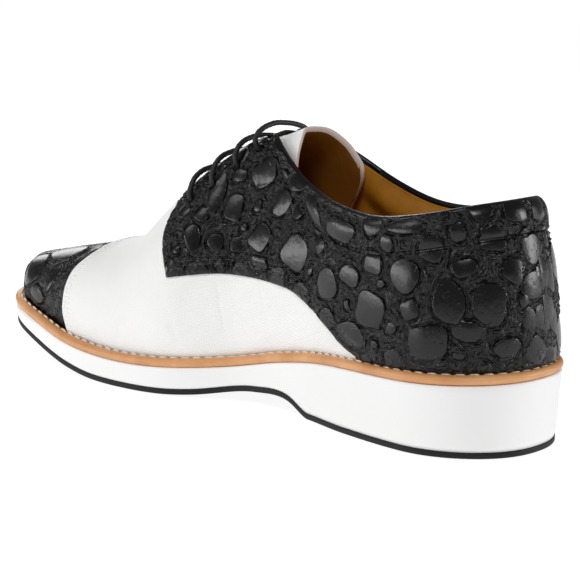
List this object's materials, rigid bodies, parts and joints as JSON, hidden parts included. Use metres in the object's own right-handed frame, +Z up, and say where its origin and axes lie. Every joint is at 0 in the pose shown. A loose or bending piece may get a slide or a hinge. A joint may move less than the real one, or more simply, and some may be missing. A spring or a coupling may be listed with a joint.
{
  "type": "derby lace-up shoe",
  "caption": "Right two-tone lace-up dress shoe: hollow upper with quarters and tongue on a storm welt, a wedge midsole with a heel and a thin outsole.",
  "frame": {"origin": "centre of the shoe's box on the plane that the heel and the forefoot stand on", "axes": "+Y from heel to toe, +X to the lateral side of this right shoe, +Z up"},
  "size_m": [0.1, 0.302, 0.1225],
  "materials": {
    "outsole_rubber": "black matt rubber sheet",
    "midsole_rubber": "white moulded rubber, satin",
    "welt_leather": "tan vegetable-tanned leather strip, smooth",
    "lining_leather": "golden tan lining leather, smooth",
    "vamp_leather": "white leather with a fine woven emboss, matt",
    "quarter_leather": "black leather with a reptile scale emboss, glazed",
    "tongue_leather": "white leather, raw edges",
    "lace_cord": "black waxed round cord"
  },
  "bodies": {
    "root": {"outsole": "outsole_rubber", "midsole": "midsole_rubber", "welt": "welt_leather", "insole": "lining_leather", "upper": "vamp_leather", "quarter_medial": "quarter_leather", "quarter_lateral": "quarter_leather", "tongue": "tongue_leather", "lace_bar_1": "lace_cord", "lace_bar_2": "lace_cord", "lace_bar_3": "lace_cord", "lace_bar_4": "lace_cord"}
  },
  "joints": []
}
